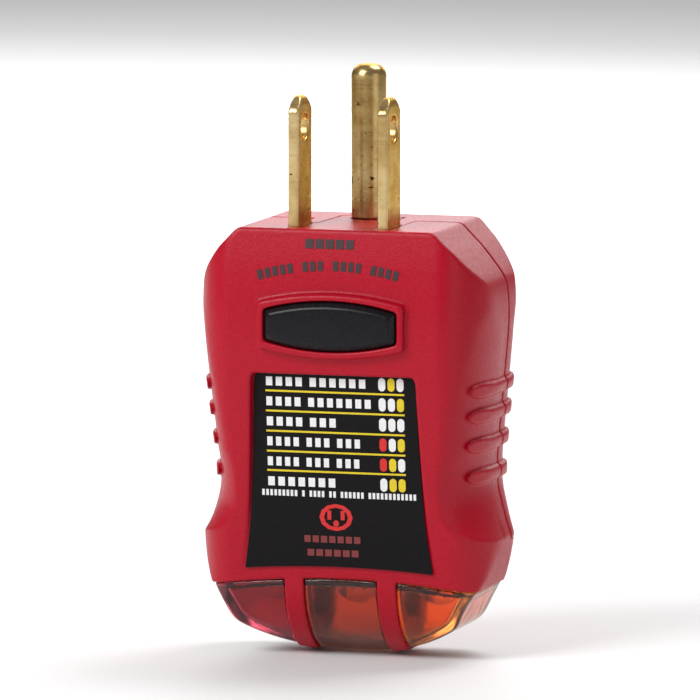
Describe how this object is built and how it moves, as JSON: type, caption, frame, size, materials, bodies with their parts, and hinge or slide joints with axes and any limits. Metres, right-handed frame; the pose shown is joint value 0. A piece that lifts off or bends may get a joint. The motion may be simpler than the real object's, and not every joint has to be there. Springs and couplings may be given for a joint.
{
  "type": "outlet tester plug",
  "caption": "Plug-in receptacle tester with a press-to-test button, indicator lamps behind lens windows, and two flat blades with a round grounding pin.",
  "frame": {"origin": "on the plug face, midway between the two flat blades", "axes": "+Z along the blades, away from the body; -Y towards the label and the button, +Y towards the grounding pin and the flat back; +X to the right seen from the label side"},
  "size_m": [0.0426, 0.027, 0.0812],
  "materials": {
    "housing": "moulded ABS with a fine satin texture",
    "label": "printed matt film",
    "button": "moulded black with a satin face",
    "lens_red": "clear tinted polycarbonate, dark red",
    "lens_amber": "clear tinted polycarbonate, amber",
    "prong_brass": "stamped and turned brass, lightly worn",
    "board": "lacquered glass-fibre laminate",
    "spring_metal": "rolled spring strip",
    "plated_metal": "tin plated",
    "lamp_glass": "clear blown glass",
    "resistor_tan": "dipped lacquer",
    "resistor_blue": "dipped lacquer",
    "wire_black": "soft insulation",
    "wire_white": "soft insulation",
    "wire_green": "soft insulation",
    "screw_steel": "zinc plated"
  },
  "bodies": {
    "tester": {"front_housing": "housing", "rear_housing": "housing", "front_label": "label", "lens_left": "lens_red", "lens_centre": "lens_amber", "lens_right": "lens_amber", "hot_blade": "prong_brass", "neutral_blade": "prong_brass", "ground_pin": "prong_brass", "circuit_board": "board", "contact_leaf": "spring_metal", "fixed_contact": "plated_metal", "lamp_glass_left": "lamp_glass", "lamp_glass_centre": "lamp_glass", "lamp_glass_right": "lamp_glass", "lamp_leads": "plated_metal", "lamp_resistors": "resistor_tan", "test_resistor": "resistor_blue", "hot_wire": "wire_black", "neutral_wire": "wire_white", "ground_wire": "wire_green", "case_screws": "screw_steel"},
    "button": {"test_button": "button"}
  },
  "joints": [
    {"name": "button_press", "type": "slide", "parent": "tester", "child": "button", "axis": [0, 1, 0], "range_m": [0, 0.0012], "stiffness_N_per_m": 1200, "springref_m": -0.0008, "deforming": ["contact_leaf"]}
  ]
}
